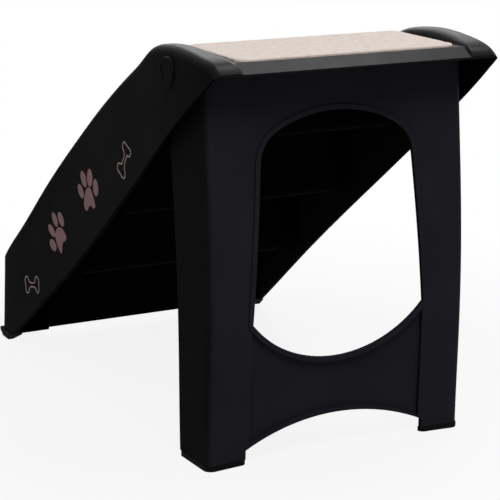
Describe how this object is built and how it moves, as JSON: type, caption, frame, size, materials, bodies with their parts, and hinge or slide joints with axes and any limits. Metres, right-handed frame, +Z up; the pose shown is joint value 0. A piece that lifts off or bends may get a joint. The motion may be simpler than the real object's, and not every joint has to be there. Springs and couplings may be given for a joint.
{
  "type": "folding pet stairs",
  "caption": "Free-standing folding pet stairs: a moulded shell with carpeted treads and raised rounded side rails, on a hinged arched leg frame that folds up underneath.",
  "frame": {"origin": "on the floor, at the middle of the footprint of the set-up stairs", "axes": "+X from the platform end to the low front end, +Y across the stairs to the side with the prints, +Z up"},
  "size_m": [0.655, 0.4, 0.48],
  "materials": {
    "shell_plastic": "satin black moulded plastic",
    "leg_plastic": "satin black moulded plastic",
    "carpet": "short heathered beige pile",
    "tape": "thin foam tape",
    "pin_plastic": "semi-gloss black",
    "washer_plastic": "natural slippery plastic",
    "clip_steel": "spring steel",
    "foot_rubber": "fine-grained black rubber"
  },
  "bodies": {
    "stairs": {"stair_shell": "shell_plastic", "platform_carpet": "carpet", "step_carpet_1": "carpet", "step_carpet_2": "carpet", "step_carpet_3": "carpet", "platform_tape": "tape", "step_tape_1": "tape", "step_tape_2": "tape", "step_tape_3": "tape", "pivot_pin_left": "pin_plastic", "pivot_pin_right": "pin_plastic", "pivot_washer_left": "washer_plastic", "pivot_washer_right": "washer_plastic", "pivot_clip_left": "clip_steel", "pivot_clip_right": "clip_steel", "front_foot_left": "foot_rubber", "front_foot_right": "foot_rubber"},
    "leg": {"leg_frame": "leg_plastic", "rear_foot_left": "foot_rubber", "rear_foot_right": "foot_rubber"}
  },
  "joints": [
    {"name": "leg_fold", "type": "hinge", "parent": "stairs", "child": "leg", "pos_m": [-0.2245, 0, 0.452], "axis": [0, -1, 0], "range_deg": [0, 50]}
  ]
}
